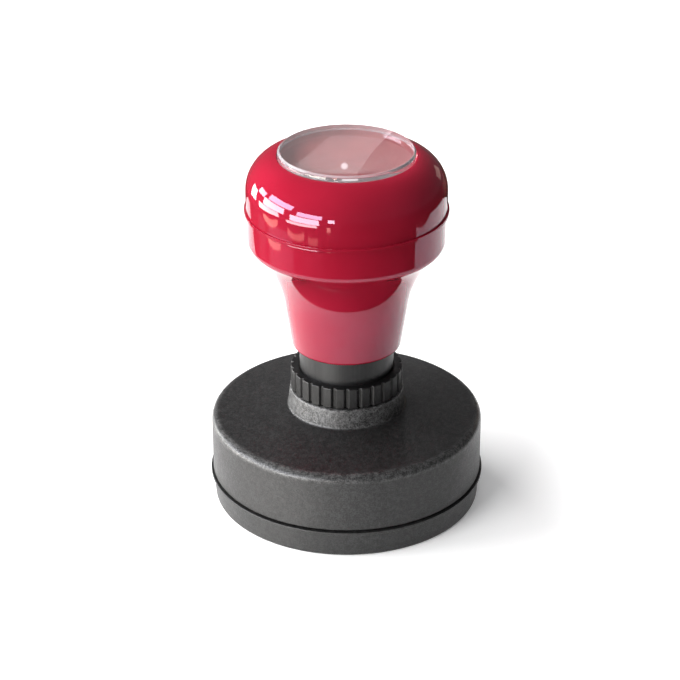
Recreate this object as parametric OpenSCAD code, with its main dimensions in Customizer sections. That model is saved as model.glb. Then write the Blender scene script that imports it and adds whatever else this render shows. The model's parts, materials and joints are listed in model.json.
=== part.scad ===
// Round pre-inked stamp with a knob handle, a depth adjusting ring and a push-on dust cap.
// Lengths are in millimetres, +Z is up, and the origin is the centre of the cap's underside.

/* [Dust cap] */
// Diameter over the bead round the cap's rim
cap_rim_d = 53; // [48:0.5:62]
// Height of the cap
cap_h = 5.5; // [4.5:0.1:7]
// Thickness of the cap's floor
cap_floor = 1.2; // [0.9:0.1:2]
// Wall of the cap just under its bead
cap_wall = 1.25; // [1:0.05:2]
// How far the wall leans in between the bead and the floor
cap_draft = 0.35; // [0.1:0.05:0.6]
// Height of the bead
bead_h = 0.6; // [0.4:0.1:1.4]
// How far the bead stands out of the wall
bead_out = 0.45; // [0.1:0.05:0.6]
// Rounding of the cap's lower edge
cap_edge_r = 0.6; // [0.2:0.1:0.8]
// Depth of the recess under the floor
foot_recess_depth = 0.3; // [0.1:0.05:0.5]
// Width of the ring that the cap stands on
foot_w = 3.5; // [2:0.5:8]

/* [Housing] */
// Step from the cap's bead in to the drum's wall
drum_step = 0.4; // [0.2:0.05:1]
// Wall of the drum
drum_wall = 1.8; // [1.4:0.1:2.2]
// Wall of the skirt that the cap slides over
skirt_wall = 1.1; // [0.9:0.1:1.5]
// Thickness of the roof
roof_t = 2; // [1.6:0.1:3]
// Rise of the roof from the drum's edge to the collar
roof_rise = 1.5; // [1:0.1:3.2]
// Rounding of the drum's upper edge
drum_edge_r = 1.5; // [0.6:0.1:2]
// Height of the collar on the roof
collar_h = 4; // [2.5:0.1:6]
// Wall of the collar at its top
collar_wall = 1.85; // [1.4:0.05:2.6]
// How much the collar flares out towards the roof
collar_flare = 0.45; // [0.1:0.05:0.9]
// Fillet between the collar and the roof
collar_fillet_r = 0.5; // [0.2:0.1:1]

/* [Neck and adjusting ring] */
// Outer diameter of the neck tube
neck_d = 18; // [15:0.5:20]
// Wall of the neck tube
neck_wall = 1.4; // [1:0.1:2]
// Thickness of the ledge in the neck that carries the spring
neck_ledge_t = 2.8; // [2.4:0.1:4]
// Length of neck below its retaining clip
neck_lip = 1; // [0.6:0.1:1.6]
// Height of the threaded shoulder on the neck
thread_h = 1.9; // [1.5:0.1:2.1]
// How far the threaded shoulder stands out of the neck
thread_out = 0.6; // [0.4:0.05:0.8]
// Lift of the adjusting ring in one turn
thread_pitch = 0.75; // [0.5:0.25:1.5]
// Height of the adjusting ring
ring_h = 4.2; // [3.2:0.1:5]
// Wall of the adjusting ring outside its thread
ring_wall = 1.04; // [0.9:0.02:1.6]
// Number of lands round the ring
ring_lands = 27; // [16:1:36]
// Radius of the tool that cuts the grooves between lands
groove_r = 0.42; // [0.25:0.01:0.6]
// Chamfer on the ring's two edges
ring_chamfer = 0.25; // [0.1:0.05:0.4]
// Section of the rubber drag ring inside the adjusting ring
drag_section = 0.7; // [0.5:0.05:0.8]
// Thickness of the retaining clip
clip_t = 0.8; // [0.6:0.1:1.2]
// Radial width of the retaining clip outside the neck
clip_out = 2; // [1.2:0.1:3]
// Depth of the clip's groove in the neck
clip_groove = 0.6; // [0.3:0.05:0.8]

/* [Handle] */
// Height of the whole stamp, from the cap's underside to the top of the lens
stamp_h = 71.9; // [66:0.1:80]
// Diameter of the grip's band
band_d = 37; // [34:0.5:44]
// Share of the grip's height in the straight part of its band
band_share = 0.2; // [0.17:0.002:0.28]
// Rounding under the band
band_round_r = 1.8; // [1:0.1:3.5]
// Wall of the grip at its foot
foot_wall = 1.35; // [0.9:0.05:1.8]
// Lean of the grip's lower cone
cone_angle = 8.6; // [5:0.2:12]
// Share of the grip's height in its lower cone
cone_share = 0.316; // [0.18:0.002:0.36]
// Rounding of the grip's lower edge
foot_edge_r = 0.35; // [0.1:0.05:0.8]
// Thickness of the web that the spring pushes on
web_t = 2; // [1.5:0.1:3]
// Share of the grip's free height that the neck fills at rest, the rest being room over the web
neck_share = 0.6; // [0.45:0.002:0.62]
// Wall of the grip round the crown's spigot
mouth_wall = 1.5; // [1.2:0.1:2]
// Depth of the crown's spigot in the grip
spigot_h = 3.5; // [2:0.1:4.5]
// Wall of the crown's spigot
spigot_wall = 1.6; // [1.2:0.1:2.2]
// How far the crown overhangs the grip's band
crown_over = 0.2; // [0.1:0.05:0.8]
// Height of the crown above the seam
crown_h = 10.9; // [8.4:0.1:12]
// Height of the lip round the crown at the seam
lip_h = 0.5; // [0.4:0.05:0.8]
// How far the lip stands out of the crown
lip_out = 0.35; // [0.2:0.05:0.6]
// Rounding of the lip's two edges
lip_edge_r = 0.15; // [0.05:0.05:0.2]
// Rounding of the crown's shoulder
crown_round_r = 6.7; // [5:0.1:7.4]
// Thickness of the floor under the index card
crown_floor = 1.6; // [1.2:0.1:2.4]

/* [Index window] */
// Diameter of the index lens
lens_d = 25.5; // [20:0.5:27]
// Depth of the lens's recess in the crown
recess_depth = 3.4; // [2.5:0.1:4]
// How far the lens's edge stands above the crown
lens_proud = 1; // [0.4:0.1:1.5]
// Rise of the lens's domed face
lens_dome = 0.5; // [0.3:0.1:1.2]
// Chamfer on the lens's upper edge
lens_chamfer = 0.35; // [0.1:0.05:0.6]
// Thickness of the index card
card_t = 0.3; // [0.2:0.05:0.6]

/* [Press and die] */
// Travel of the handle
stroke = 4; // [3.2:0.1:5]
// How far the die reaches past the skirt at full press
die_squash = 0.3; // [0.1:0.05:0.4]
// Thickness of the microporous die
die_t = 2.9; // [2.4:0.1:4]
// Depth of the step round the die's printing face
die_step = 1.5; // [1.2:0.05:1.8]
// Width of the step round the die's printing face
die_step_w = 1.05; // [0.8:0.05:1.6]
// How far the printing face stands below the frame
die_proud = 0.6; // [0.3:0.05:0.8]
// Thickness of the ink pad
pad_t = 1.9; // [1.4:0.1:3]
// Thickness of the die holder's plate
plate_t = 1.5; // [1.2:0.1:2.4]
// Wall of the die holder's rim
holder_rim = 1; // [0.8:0.05:1.4]
// Height of the die holder's hub
hub_h = 2.25; // [1.6:0.05:3]
// Number of ribs on the die holder
rib_count = 6; // [4:1:10]
// Thickness of a rib
rib_t = 1.2; // [0.8:0.1:2]
// Wall of the die frame
frame_wall = 0.9; // [0.7:0.05:1.2]
// Height of the die frame's wall above its lip
frame_h = 3.4; // [2.4:0.1:4.4]
// Thickness of the rubber bumper on the hub
bumper_t = 0.8; // [0.5:0.1:1.4]
// Diameter of the post through the spring
post_d = 8; // [7:0.1:9]

/* [Spring and screw] */
// Diameter of the spring's wire
wire_d = 1; // [0.7:0.05:1.2]
// Number of turns in the spring
spring_turns = 10; // [7:1:13]
// Gap between the turns that close each end of the spring
end_gap = 0.6; // [0.5:0.05:0.9]
// Thickness of the two washers that the spring sits on
seat_t = 0.5; // [0.4:0.05:1]
// Shank diameter of the handle's screw
screw_d = 2.6; // [2:0.1:3]
// Head diameter of the handle's screw
screw_head_d = 5.8; // [4.8:0.1:6.6]
// Diameter of the flat on the screw's head
screw_flat_d = 4.6; // [3.6:0.1:5.6]
// Head height of the handle's screw
screw_head_h = 1.9; // [1.5:0.1:2.4]
// Length of the screw's shank
screw_l = 12; // [8:0.5:16]
// Width of the cross slot in the screw's head
cross_w = 0.8; // [0.6:0.05:1.2]
// Diameter of the screw's washer
washer_d = 8; // [7.8:0.1:9.5]
// Thickness of the screw's washer
washer_t = 0.6; // [0.4:0.05:1]
// Width across the square end of the post
square_w = 5; // [4.4:0.1:5.4]

/* [Hidden] */
$fn = 96;

// Clearances
cap_clear = 0.15;       // cap over the skirt
seam_gap = 0.3;         // shadow gap between the cap's rim and the drum
skirt_gap = 0.7;        // skirt above the cap's floor
slide_clear = 0.06;     // handle and ring on the neck, post in the ledge
seat_fit = 0.04;        // pieces of one body that plug together
face_gap = 0.05;        // flat faces of two bodies that meet at rest
ring_gap = 0.2;         // adjusting ring above the collar when screwed right down
stop_gap = 0.25;        // handle above the ring at full press with the ring one turn up
web_gap = 1.5;          // neck below the web at full press
frame_clear = 0.35;     // die frame inside the skirt
spring_clear = 0.6;     // spring inside the neck
driver_clear = 0.7;     // hole under the card, round the screw's head
cut = 1;                // overshoot of a cut past a face
bite = 0.004;           // overlap of an arc with the edges that it runs into

// Radii of the cap and the housing, from the outside in
cap_rim_r = cap_rim_d / 2;
cap_wall_r = cap_rim_r - bead_out;
cap_base_r = cap_wall_r - cap_draft;
cap_in_r = cap_wall_r - cap_wall;
skirt_r = cap_in_r - cap_clear;
skirt_in_r = skirt_r - skirt_wall;
drum_r = cap_rim_r - drum_step;
drum_in_r = max(skirt_in_r, drum_r - drum_wall);

// Radii of the die stack, from the outside in
frame_r = skirt_in_r - frame_clear;
holder_r = frame_r - frame_wall - seat_fit;
cup_r = holder_r - holder_rim;
die_flange_r = cup_r - seat_fit;
die_r = die_flange_r - die_step_w;

// Radii round the neck, from the inside out
post_r = post_d / 2;
neck_r = neck_d / 2;
neck_bore_r = neck_r - neck_wall;
thread_r = neck_r + thread_out;
collar_bore_r = neck_r + seat_fit;
collar_top_r = collar_bore_r + collar_wall;
collar_foot_r = collar_top_r + collar_flare;
slide_r = neck_r + slide_clear;
ring_r = thread_r + slide_clear + ring_wall;
drag_groove_r = slide_r + drag_section + seat_fit;
spring_r = neck_bore_r - spring_clear - wire_d / 2;

// Heights, from the cap's underside up
z_skirt = cap_floor + skirt_gap;
z_drum = cap_h + seam_gap;
z_face = z_skirt - die_squash + stroke;
z_step = z_face + die_step;
z_die = z_face + die_t;
z_pad = z_die + pad_t;
z_plate = z_pad + plate_t;
z_hub = z_plate + hub_h;
z_neck = z_hub + bumper_t + face_gap;
z_clip = z_neck + neck_lip;
z_ceiling = z_clip + clip_t;
z_roof = z_ceiling + roof_t;
z_rim = z_roof - roof_rise;
z_collar = z_roof + collar_h;
z_ring = z_collar + ring_gap;
z_ring_top = z_ring + ring_h;
z_foot = z_ring_top + thread_pitch + stroke + stop_gap;
z_ledge = z_neck + neck_ledge_t;

// Heights, from the top of the lens down
z_lens_edge = stamp_h - lens_dome;
z_crown = z_lens_edge - lens_proud;
z_recess = z_crown - recess_depth;
z_seam = z_crown - crown_h;

// Heights inside the grip, which fills the room between its foot and the seam
grip_h = z_seam - z_foot;
free_h = grip_h - stroke - web_gap - web_t;
z_neck_top = z_foot + neck_share * free_h;
z_web = z_neck_top + stroke + web_gap;
z_web_top = z_web + web_t;

// Outline of the grip: a cone, a hollow blend tangent to it, and a round tangent to the blend and the band
band_r = band_d / 2;
band_h = band_share * grip_h;
cone_h = cone_share * grip_h;
foot_r = slide_r + foot_wall;
cone_r = foot_r + cone_h * tan(cone_angle);
z_cone = z_foot + cone_h;
round_c = [band_r - band_round_r, z_seam - band_h];
blend_from = [cone_r, z_cone] - round_c;
blend_num = blend_from * blend_from - band_round_r * band_round_r;
blend_den = band_round_r - blend_from[0] * cos(cone_angle) + blend_from[1] * sin(cone_angle);
blend_r = blend_num / (2 * blend_den);
blend_c = [cone_r + blend_r * cos(cone_angle), z_cone - blend_r * sin(cone_angle)];
blend_end = blend_c + (round_c - blend_c) * blend_r / (blend_r + band_round_r);

// Crown and lens
crown_r = band_r + crown_over;
mouth_r = band_r - mouth_wall;
spigot_r = mouth_r - seat_fit;
hollow_r = spigot_r - spigot_wall;
well_r = hollow_r - spigot_wall;
lens_r = lens_d / 2;
recess_r = lens_r + slide_clear;
lens_z = z_recess + card_t + face_gap;
dome_r = (lens_r * lens_r + lens_dome * lens_dome) / (2 * lens_dome);
dome_fn = 720;          // sides of the dome's large circle
driver_r = screw_head_d / 2 + driver_clear;

// The first groove of the adjusting ring faces the front
groove_from = -90;

// Spring, one tube of eight rings a turn and six sides
rings_per_turn = 8;
wire_sides = 6;
wire_r = wire_d / 2;
spring_low = z_ledge + seat_t + wire_r + face_gap;
spring_high = z_web - seat_t - wire_r - face_gap;
end_rise = wire_d + end_gap;
spring_rings = spring_turns * rings_per_turn;

function unit(v) = v / norm(v);
function half_angle(p, a, b) = acos(unit(a - p) * unit(b - p)) / 2;
function fillet_centre(p, a, b, r) = p + unit(unit(a - p) + unit(b - p)) * r / sin(half_angle(p, a, b));
function tangent_point(p, a, b, r) = p + unit(a - p) * r / tan(half_angle(p, a, b));
function spring_z(turn) =
    let (mid_rise = (spring_high - spring_low - 2 * end_rise) / (spring_turns - 2))
    turn < 1 ? spring_low + end_rise * turn :
    turn > spring_turns - 1 ? spring_high - end_rise * (spring_turns - turn) :
    spring_low + end_rise + mid_rise * (turn - 1);
function spring_point(i) =
    let (turn = i / rings_per_turn)
    [spring_r * cos(360 * turn), spring_r * sin(360 * turn), spring_z(turn)];
function spring_ring(i) =
    let (turn = i / rings_per_turn, centre = spring_point(i))
    [for (k = [0:wire_sides - 1])
        let (a = 360 * k / wire_sides, out = wire_r * cos(a))
        centre + [out * cos(360 * turn), out * sin(360 * turn), wire_r * sin(a)]];

// Least gap between turns, taken between ring centres at least half a turn apart
spring_centres = [for (i = [0:spring_rings]) spring_point(i)];
spring_gap = min([for (i = [0:spring_rings], j = [i + rings_per_turn / 2:spring_rings])
    norm(spring_centres[i] - spring_centres[j])]) - wire_d;
echo(least_gap_between_spring_turns = spring_gap);

// Waste outside the rounding of a corner: p is the corner, a and b lie along its two edges
module corner_waste(p, a, b, r) {
    centre = fillet_centre(p, a, b, r);
    ta = tangent_point(p, a, b, r);
    tb = tangent_point(p, b, a, r);
    away = cut * unit(p - centre);
    difference() {
        polygon([centre, ta, ta + away, p + away, tb + away, tb]);
        translate(centre) circle(r + bite);
    }
}

// Flat ring from radius ri to radius ro, standing on z
module washer(ri, ro, z, t) {
    translate([0, 0, z]) difference() {
        cylinder(r = ro, h = t);
        translate([0, 0, -cut]) cylinder(r = ri, h = t + 2 * cut);
    }
}

module dust_cap() {
    base_corner = [cap_base_r, 0];
    wall_top = [cap_wall_r, cap_h - bead_h];
    color([0.16, 0.16, 0.165])
    rotate_extrude()
    difference() {
        polygon([[0, foot_recess_depth], [cap_base_r - foot_w, foot_recess_depth], [cap_base_r - foot_w, 0],
                 base_corner, wall_top, [cap_rim_r, wall_top[1]], [cap_rim_r, cap_h],
                 [cap_in_r, cap_h], [cap_in_r, cap_floor], [0, cap_floor]]);
        corner_waste(base_corner, [0, 0], wall_top, cap_edge_r);
    }
}

module housing() {
    rim = [drum_r, z_rim];
    collar_foot = [collar_foot_r, z_roof];
    collar_top = [collar_top_r, z_collar];
    wall_foot = [drum_r, z_drum];
    inner_rim_z = z_rim - roof_t + (drum_r - drum_in_r) * roof_rise / (drum_r - collar_foot_r);
    color([0.17, 0.17, 0.175])
    rotate_extrude()
    difference() {
        polygon([[skirt_in_r, z_skirt], [skirt_r, z_skirt], [skirt_r, z_drum], wall_foot, rim,
                 tangent_point(collar_foot, rim, collar_top, collar_fillet_r),
                 tangent_point(collar_foot, collar_top, rim, collar_fillet_r),
                 collar_top, [collar_bore_r, z_collar], [collar_bore_r, z_ceiling],
                 [collar_foot_r, z_ceiling], [drum_in_r, inner_rim_z], [drum_in_r, z_drum],
                 [skirt_in_r, z_drum]]);
        corner_waste(rim, wall_foot, collar_foot, drum_edge_r);
        translate(fillet_centre(collar_foot, rim, collar_top, collar_fillet_r))
        circle(collar_fillet_r + bite);
    }
}

module neck_tube() {
    groove_in_r = neck_r - clip_groove;
    color([0.27, 0.27, 0.275])
    rotate_extrude()
    polygon([[post_r + slide_clear, z_neck], [neck_r, z_neck], [neck_r, z_clip], [groove_in_r, z_clip],
             [groove_in_r, z_ceiling], [neck_r, z_ceiling], [neck_r, z_collar], [thread_r, z_collar],
             [thread_r, z_collar + thread_h], [neck_r, z_collar + thread_h], [neck_r, z_neck_top],
             [neck_bore_r, z_neck_top], [neck_bore_r, z_ledge], [post_r + slide_clear, z_ledge]]);
}

module neck_clip() {
    inner_r = neck_r - clip_groove + seat_fit;
    outer_r = neck_r + clip_out;
    color([0.6, 0.6, 0.62])
    difference() {
        washer(inner_r, outer_r, z_clip + seat_fit, clip_t - 2 * seat_fit);
        translate([0, -inner_r / 2, z_clip - cut]) cube([outer_r + cut, inner_r, clip_t + 2 * cut]);
    }
}

module adjusting_ring() {
    thread_bore_r = thread_r + slide_clear;
    z_drag = z_collar + thread_h + face_gap;
    z_lip = z_drag + drag_section + 2 * face_gap;
    color([0.13, 0.13, 0.135])
    difference() {
        rotate_extrude()
        polygon([[thread_bore_r, z_ring], [ring_r - ring_chamfer, z_ring], [ring_r, z_ring + ring_chamfer],
                 [ring_r, z_ring_top - ring_chamfer], [ring_r - ring_chamfer, z_ring_top],
                 [slide_r, z_ring_top], [slide_r, z_lip], [drag_groove_r, z_lip],
                 [drag_groove_r, z_drag], [thread_bore_r, z_drag]]);
        for (i = [0:ring_lands - 1])
            rotate([0, 0, 360 * i / ring_lands + groove_from])
            translate([ring_r, 0, z_ring - cut])
            cylinder(r = groove_r, h = ring_h + 2 * cut, $fn = 24);
    }
}

module drag_ring() {
    section_r = drag_section / 2;
    color([0.1, 0.1, 0.1])
    rotate_extrude()
    translate([slide_r + section_r, z_collar + thread_h + 2 * face_gap + section_r])
    circle(section_r);
}

module return_spring() {
    points = [for (i = [0:spring_rings]) each spring_ring(i)];
    last = spring_rings * wire_sides;
    sides = [for (i = [0:spring_rings - 1], k = [0:wire_sides - 1])
        let (a = i * wire_sides + k, b = i * wire_sides + (k + 1) % wire_sides)
        each [[a, a + wire_sides, b], [b, a + wire_sides, b + wire_sides]]];
    ends = [for (k = [1:wire_sides - 2]) each [[0, k, k + 1], [last, last + k + 1, last + k]]];
    color([0.72, 0.73, 0.75])
    polyhedron(points = points, faces = concat(sides, ends));
}

module spring_seat() {
    color([0.7, 0.71, 0.73])
    washer(post_r + 2 * slide_clear, neck_bore_r - slide_clear, z_ledge, seat_t);
}

module spring_cup() {
    color([0.7, 0.71, 0.73])
    washer(post_r + seat_fit, neck_bore_r, z_web - seat_t, seat_t);
}

module die_holder() {
    hub_r = neck_r - neck_wall / 2;
    rib_h = hub_h / 2;
    rib_l = (holder_r + hub_r) / 2;
    color([0.85, 0.85, 0.83])
    difference() {
        union() {
            rotate_extrude()
            polygon([[0, z_pad], [cup_r, z_pad], [cup_r, z_step], [holder_r, z_step], [holder_r, z_plate],
                     [hub_r, z_plate], [hub_r, z_hub], [post_r, z_hub], [post_r, z_web], [0, z_web]]);
            for (i = [0:rib_count - 1])
                rotate([0, 0, 360 * i / rib_count])
                translate([post_r, -rib_t / 2, z_plate - rib_h])
                cube([rib_l - post_r, rib_t, 2 * rib_h]);
            translate([-square_w / 2, -square_w / 2, z_web - cut])
            cube([square_w, square_w, web_t - face_gap + cut]);
        }
        translate([0, 0, z_web_top - screw_l - cut])
        cylinder(d = screw_d + seat_fit, h = screw_l + 2 * cut);
    }
}

module bumper_ring() {
    color([0.2, 0.2, 0.2])
    washer(post_r + seat_fit, neck_r - neck_wall, z_hub, bumper_t);
}

module ink_pad() {
    color([0.55, 0.08, 0.1])
    translate([0, 0, z_die]) cylinder(r = die_flange_r, h = pad_t);
}

module flash_die() {
    color([0.35, 0.33, 0.34])
    union() {
        translate([0, 0, z_face]) cylinder(r = die_r, h = die_t);
        translate([0, 0, z_step]) cylinder(r = die_flange_r, h = die_t - die_step);
    }
}

module die_frame() {
    z_lip = z_face + die_proud;
    lip_in_r = die_r + seat_fit;
    wall_in_r = frame_r - frame_wall;
    z_top = z_step + frame_h;
    color([0.2, 0.2, 0.21])
    rotate_extrude()
    polygon([[lip_in_r, z_lip], [frame_r, z_lip], [frame_r, z_top], [wall_in_r, z_top],
             [wall_in_r, z_step - seat_fit], [lip_in_r, z_step - seat_fit]]);
}

// Outside of the grip, from its foot up to the seam
module grip_outline() {
    foot = [foot_r, z_foot];
    cone_end = [cone_r, z_cone];
    difference() {
        union() {
            difference() {
                polygon([[0, z_foot], foot, cone_end, blend_end, [band_r, round_c[1]],
                         [band_r, z_seam], [0, z_seam]]);
                translate(blend_c) circle(blend_r + bite);
            }
            translate(round_c) circle(band_round_r);
        }
        corner_waste(foot, [0, z_foot], cone_end, foot_edge_r);
    }
}

module handle_grip() {
    hole_w = square_w + 2 * seat_fit;
    z_mouth = z_seam - spigot_h;
    color([0.72, 0.06, 0.14])
    difference() {
        rotate_extrude()
        difference() {
            grip_outline();
            translate([-cut, z_foot - cut]) square([slide_r + cut, z_web - z_foot + cut]);
            translate([-cut, z_web_top]) square([well_r + cut, z_seam - z_web_top + cut]);
            translate([-cut, z_mouth]) square([mouth_r + cut, spigot_h + cut]);
        }
        translate([-hole_w / 2, -hole_w / 2, z_web - cut]) cube([hole_w, hole_w, web_t + 2 * cut]);
    }
}

module handle_crown() {
    shoulder = [crown_r, z_crown];
    lip_low = [crown_r + lip_out, z_seam];
    lip_high = lip_low + [0, lip_h];
    z_spigot = z_seam - spigot_h + face_gap;
    color([0.74, 0.06, 0.14])
    rotate_extrude()
    difference() {
        union() {
            translate([0, z_seam]) square([crown_r, crown_h]);
            translate([0, z_seam]) square([lip_low[0], lip_h]);
            translate([0, z_spigot]) square([spigot_r, spigot_h]);
        }
        corner_waste(shoulder, [0, z_crown], [crown_r, z_seam], crown_round_r);
        corner_waste(lip_high, [0, lip_high[1]], lip_low, lip_edge_r);
        corner_waste(lip_low, lip_high, [0, z_seam], lip_edge_r);
        translate([-cut, z_spigot - cut]) square([hollow_r + cut, z_recess - crown_floor - z_spigot + cut]);
        translate([-cut, z_seam]) square([driver_r + cut, crown_h]);
        translate([-cut, z_recess]) square([recess_r + cut, recess_depth + cut]);
    }
}

module handle_screw() {
    z_head = z_web_top + washer_t;
    head_r = screw_head_d / 2;
    cross_depth = screw_head_h / 2;
    color([0.75, 0.76, 0.78])
    difference() {
        union() {
            translate([0, 0, z_head]) cylinder(r1 = head_r, d2 = screw_flat_d, h = screw_head_h);
            translate([0, 0, z_web_top - screw_l]) cylinder(d = screw_d, h = screw_l + washer_t + cut / 2);
        }
        for (a = [0, 90])
            rotate([0, 0, a])
            translate([-head_r / 2, -cross_w / 2, z_head + screw_head_h - cross_depth])
            cube([head_r, cross_w, screw_head_h]);
    }
}

module screw_washer() {
    color([0.72, 0.73, 0.75])
    washer(screw_d / 2 + seat_fit, washer_d / 2, z_web_top, washer_t);
}

module index_card() {
    color([0.78, 0.6, 0.6])
    translate([0, 0, z_recess]) cylinder(r = lens_r - slide_clear, h = card_t);
}

module index_lens() {
    z_bevel = z_lens_edge - lens_chamfer;
    bevel_h = lens_chamfer + 2 * lens_dome;
    color([0.9, 0.92, 0.94, 0.5])
    rotate_extrude()
    intersection() {
        polygon([[0, lens_z], [lens_r, lens_z], [lens_r, z_bevel], [lens_r - bevel_h, z_bevel + bevel_h],
                 [0, z_bevel + bevel_h]]);
        translate([0, stamp_h - dome_r]) circle(dome_r, $fn = dome_fn);
    }
}

dust_cap();
housing();
neck_tube();
neck_clip();
adjusting_ring();
drag_ring();
return_spring();
spring_seat();
spring_cup();
die_holder();
bumper_ring();
ink_pad();
flash_die();
die_frame();
handle_grip();
handle_crown();
handle_screw();
screw_washer();
index_card();
index_lens();
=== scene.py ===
import json
import math

import bmesh
import bpy
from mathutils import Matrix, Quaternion, Vector


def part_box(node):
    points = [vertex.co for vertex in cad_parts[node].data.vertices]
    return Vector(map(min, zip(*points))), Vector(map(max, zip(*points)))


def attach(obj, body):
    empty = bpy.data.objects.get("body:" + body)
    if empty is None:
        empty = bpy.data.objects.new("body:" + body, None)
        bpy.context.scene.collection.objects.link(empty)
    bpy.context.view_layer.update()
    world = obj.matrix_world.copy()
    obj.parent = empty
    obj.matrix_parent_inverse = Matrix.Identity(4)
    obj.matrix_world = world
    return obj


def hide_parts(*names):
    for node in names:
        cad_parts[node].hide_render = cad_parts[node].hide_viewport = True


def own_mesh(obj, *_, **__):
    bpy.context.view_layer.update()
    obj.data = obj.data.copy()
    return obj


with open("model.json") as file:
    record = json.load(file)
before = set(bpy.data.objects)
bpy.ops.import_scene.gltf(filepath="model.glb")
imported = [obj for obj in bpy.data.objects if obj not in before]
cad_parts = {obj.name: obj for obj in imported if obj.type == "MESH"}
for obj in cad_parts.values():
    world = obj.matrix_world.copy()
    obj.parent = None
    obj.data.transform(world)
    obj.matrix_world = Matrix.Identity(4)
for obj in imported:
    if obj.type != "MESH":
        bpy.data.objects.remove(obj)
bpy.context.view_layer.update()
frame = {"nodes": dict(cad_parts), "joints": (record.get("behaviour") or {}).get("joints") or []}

mm = 0.001
turn = 2 * math.pi
scene = bpy.context.scene
print("frame loaded,", len(frame["nodes"]), "nodes")


# a socket that takes part in Python sums, for shader trees and geometry trees alike
class Wire:
    def __init__(self, tree, socket):
        self.tree = tree
        self.socket = socket

    def make(self, kind, settings=None, sockets=None, output=0):
        node = self.tree.nodes.new(kind)
        for key, value in (settings or {}).items():
            setattr(node, key, value)
        for key, value in (sockets or {}).items():
            feed(self.tree, node.inputs[key], value)
        return Wire(self.tree, node.outputs[output])

    def other(self, output):
        return Wire(self.tree, self.socket.node.outputs[output])

    def math(self, operation, *values):
        return self.make("ShaderNodeMath", {"operation": operation}, dict(enumerate((self,) + values)))

    def __add__(self, value):
        return self.math("ADD", value)

    def __mul__(self, value):
        return self.math("MULTIPLY", value)

    def __sub__(self, value):
        return self.math("SUBTRACT", value)

    def __rsub__(self, value):
        return self.make("ShaderNodeMath", {"operation": "SUBTRACT"}, {0: value, 1: self})

    def __truediv__(self, value):
        return self.math("DIVIDE", value)

    __radd__ = __add__
    __rmul__ = __mul__


def feed(tree, socket, value):
    if isinstance(value, Wire):
        tree.links.new(value.socket, socket)
    else:
        socket.default_value = value


# shader helpers
def newFinish(name, constants):
    material = bpy.data.materials.new(name)
    material.use_nodes = True
    tree = material.node_tree
    shader = tree.nodes["Principled BSDF"]
    for socket, value in constants.items():
        shader.inputs[socket].default_value = value
    coords = Wire(tree, tree.nodes.new("ShaderNodeTexCoord").outputs["Object"])
    return material, shader, coords


def plug(shader, name, wire):
    feed(wire.tree, shader.inputs[name], wire)


def noise(coords, size, detail=3, rough=0.55):
    return coords.make("ShaderNodeTexNoise", None,
                       {"Vector": coords, "Scale": 1 / (size * mm), "Detail": detail, "Roughness": rough})


def stretched(coords, scale):
    return coords.make("ShaderNodeMapping", None, {"Vector": coords, "Scale": scale})


def ramp(wire, low, high, start=0.0, end=1.0):
    return wire.make("ShaderNodeMapRange", {"interpolation_type": "SMOOTHSTEP"},
                     {0: wire, 1: low, 2: high, 3: start, 4: end})


def mixed(mask, first, second):
    return mask.make("ShaderNodeMix", {"data_type": "RGBA"}, {0: mask, 6: (*first, 1), 7: (*second, 1)}, 2)


def mixedWires(mask, first, second):
    return mask.make("ShaderNodeMix", {"data_type": "RGBA"}, {0: mask, 6: first, 7: second}, 2)


def bumped(height, strength, depth):
    return height.make("ShaderNodeBump", None, {"Strength": strength, "Distance": depth * mm, "Height": height})


def radiusOf(coords):
    parts = coords.make("ShaderNodeSeparateXYZ", None, {0: coords})
    x, y = parts, parts.other(1)
    return (x * x + y * y).math("SQRT") / mm


# glossy injection moulded red: long soft colour drift, orange peel, hairline scuffs
def makeRedShell():
    look = {"deep": (0.28, 0.007, 0.022), "warm": (0.34, 0.010, 0.030), "peel": 2.6, "scuff": 0.9,
            "gloss": 0.03, "dull": 0.12}
    material, shader, coords = newFinish("redShell", {
        "IOR": 1.52, "Specular IOR Level": 0.52, "Specular Tint": (0.92, 0.76, 1.0, 1)})
    drift = noise(coords, 24, 2)
    plug(shader, "Base Color", mixed(ramp(drift, 0.3, 0.7), look["deep"], look["warm"]))
    hair = noise(stretched(coords, (1, 1, 0.16)), look["scuff"], 2, 0.4)
    rub = ramp(noise(coords, 7, 3), 0.5, 0.75) * ramp(hair, 0.58, 0.72)
    plug(shader, "Roughness", look["gloss"] + rub * (look["dull"] - look["gloss"]))
    plug(shader, "Normal", bumped(noise(coords, look["peel"], 1), 0.10, 0.012))
    return material


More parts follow.
